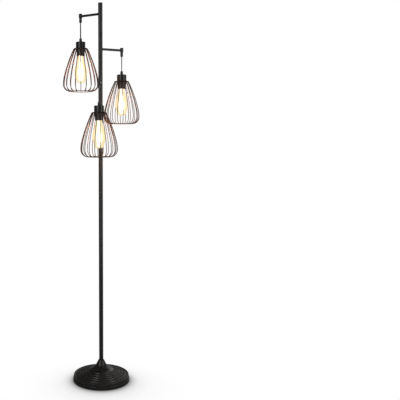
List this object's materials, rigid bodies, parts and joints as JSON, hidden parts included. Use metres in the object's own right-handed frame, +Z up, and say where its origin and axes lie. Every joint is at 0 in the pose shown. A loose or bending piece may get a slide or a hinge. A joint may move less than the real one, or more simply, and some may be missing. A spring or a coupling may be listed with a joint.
{
  "type": "floor lamp",
  "caption": "Floor lamp with a slim black pole on a stepped round base and short arms from which bulbs in wire cages hang on flat cords.",
  "frame": {"origin": "centre of the base's felt on the floor, on the pole's axis", "axes": "+Z up the pole; the lowest arm points along -Y, towards the viewer of the picture, and +X is to that viewer's right"},
  "size_m": [0.3377, 0.319, 1.668],
  "materials": {
    "black_paint": "satin black powder coat on steel",
    "black_wire": "satin black powder coat on steel wire",
    "black_screw": "blackened steel",
    "moulded_black": "moulded thermoset",
    "cast_iron": "raw casting",
    "zinc_steel": "zinc plated",
    "felt": "felt",
    "rubber": "moulded rubber",
    "cord_sheath": "flexible sheath",
    "brass": "stamped brass",
    "bulb_glass": "clear amber glass",
    "bulb_cap_metal": "pressed shell",
    "filament": "glowing wire on a glass stem"
  },
  "bodies": {
    "stand": {"base_cover": "black_paint", "base_weight": "cast_iron", "base_bottom_plate": "zinc_steel", "base_plate_screws": "zinc_steel", "base_felt_pad": "felt", "base_stud": "zinc_steel", "base_nut": "zinc_steel", "base_washer": "zinc_steel", "base_cord_bushing": "rubber", "pole_section_1": "black_paint", "pole_section_2": "black_paint", "pole_section_3": "black_paint", "pole_upper_section": "black_paint", "pole_couplers": "zinc_steel", "pole_top_plug": "black_paint", "arm_grips": "black_paint", "arm_grip_screws": "black_screw", "arm_leads": "cord_sheath", "left_arm_tube": "black_paint", "left_arm_fitting": "black_paint", "right_arm_tube": "black_paint", "right_arm_fitting": "black_paint", "front_arm_tube": "black_paint", "front_arm_fitting": "black_paint"},
    "left_cord": {"left_cord": "cord_sheath"},
    "left_pendant": {"left_socket_grip": "black_paint", "left_socket_cup": "black_paint", "left_socket_body": "moulded_black", "left_socket_contacts": "brass", "left_shade_ring": "moulded_black", "left_cage_plate": "black_paint", "left_cage_wires": "black_wire", "left_cage_ring": "black_wire", "left_bulb_glass": "bulb_glass", "left_bulb_cap": "bulb_cap_metal", "left_bulb_filament": "filament"},
    "right_cord": {"right_cord": "cord_sheath"},
    "right_pendant": {"right_socket_grip": "black_paint", "right_socket_cup": "black_paint", "right_socket_body": "moulded_black", "right_socket_contacts": "brass", "right_shade_ring": "moulded_black", "right_cage_plate": "black_paint", "right_cage_wires": "black_wire", "right_cage_ring": "black_wire", "right_bulb_glass": "bulb_glass", "right_bulb_cap": "bulb_cap_metal", "right_bulb_filament": "filament"},
    "front_cord": {"front_cord": "cord_sheath"},
    "front_pendant": {"front_socket_grip": "black_paint", "front_socket_cup": "black_paint", "front_socket_body": "moulded_black", "front_socket_contacts": "brass", "front_shade_ring": "moulded_black", "front_cage_plate": "black_paint", "front_cage_wires": "black_wire", "front_cage_ring": "black_wire", "front_bulb_glass": "bulb_glass", "front_bulb_cap": "bulb_cap_metal", "front_bulb_filament": "filament"}
  },
  "joints": [
    {"name": "left_cord_swing", "type": "hinge", "parent": "stand", "child": "left_cord", "pos_m": [-0.08672, 0.0574, 1.5965], "axis": [0.5519, 0.8339, 0], "range_deg": [-2.5, 20]},
    {"name": "left_pendant_tilt", "type": "hinge", "parent": "left_cord", "child": "left_pendant", "pos_m": [-0.08672, 0.0574, 1.5245], "axis": [-0.8339, 0.5519, 0], "range_deg": [-12, 12]},
    {"name": "right_cord_swing", "type": "hinge", "parent": "stand", "child": "right_cord", "pos_m": [0.09307, 0.04641, 1.4485], "axis": [0.4462, -0.8949, 0], "range_deg": [-2.5, 20]},
    {"name": "right_pendant_tilt", "type": "hinge", "parent": "right_cord", "child": "right_pendant", "pos_m": [0.09307, 0.04641, 1.3815], "axis": [0.8949, 0.4462, 0], "range_deg": [-12, 12]},
    {"name": "front_cord_swing", "type": "hinge", "parent": "stand", "child": "front_cord", "pos_m": [-0.00635, -0.10381, 1.304], "axis": [-0.9981, 0.061, 0], "range_deg": [-2.5, 20]},
    {"name": "front_pendant_tilt", "type": "hinge", "parent": "front_cord", "child": "front_pendant", "pos_m": [-0.00635, -0.10381, 1.241], "axis": [-0.061, -0.9981, 0], "range_deg": [-12, 12]}
  ]
}
